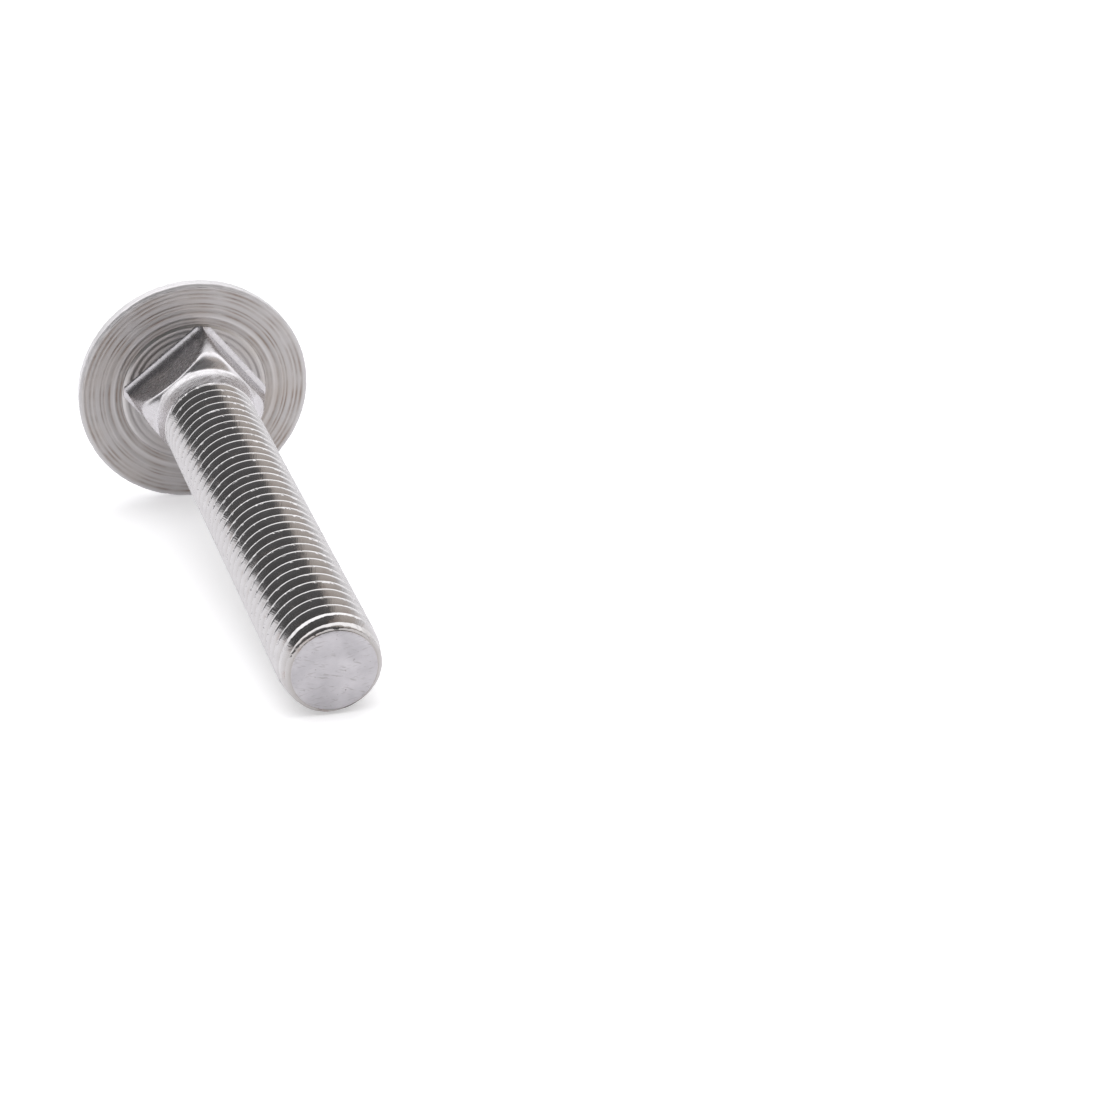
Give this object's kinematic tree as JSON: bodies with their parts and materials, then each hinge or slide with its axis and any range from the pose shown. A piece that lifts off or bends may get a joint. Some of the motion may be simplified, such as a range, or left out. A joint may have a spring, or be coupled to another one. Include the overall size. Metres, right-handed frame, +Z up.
{
  "type": "carriage bolt",
  "caption": "Low domed round head on a square neck, with a coarse right-hand thread along the whole shank. Clamps timber or sheet and can't turn once its neck is seated.",
  "frame": {"origin": "centre of the bounding box's footprint, on the surface that the bolt lies on", "axes": "+Z is up as it lies at rest on the head's rim and the last full thread ridge. The bolt's own axis lies in the YZ plane, with the head towards +Y and the threaded end towards -Y, and is tilted about 7 degrees so that the end is lower."},
  "size_m": [0.02, 0.0546, 0.0199],
  "materials": {
    "stainless": "bright cold-forged stainless steel, lightly tumbled"
  },
  "bodies": {
    "root": {"carriage_bolt": "stainless"}
  },
  "joints": []
}
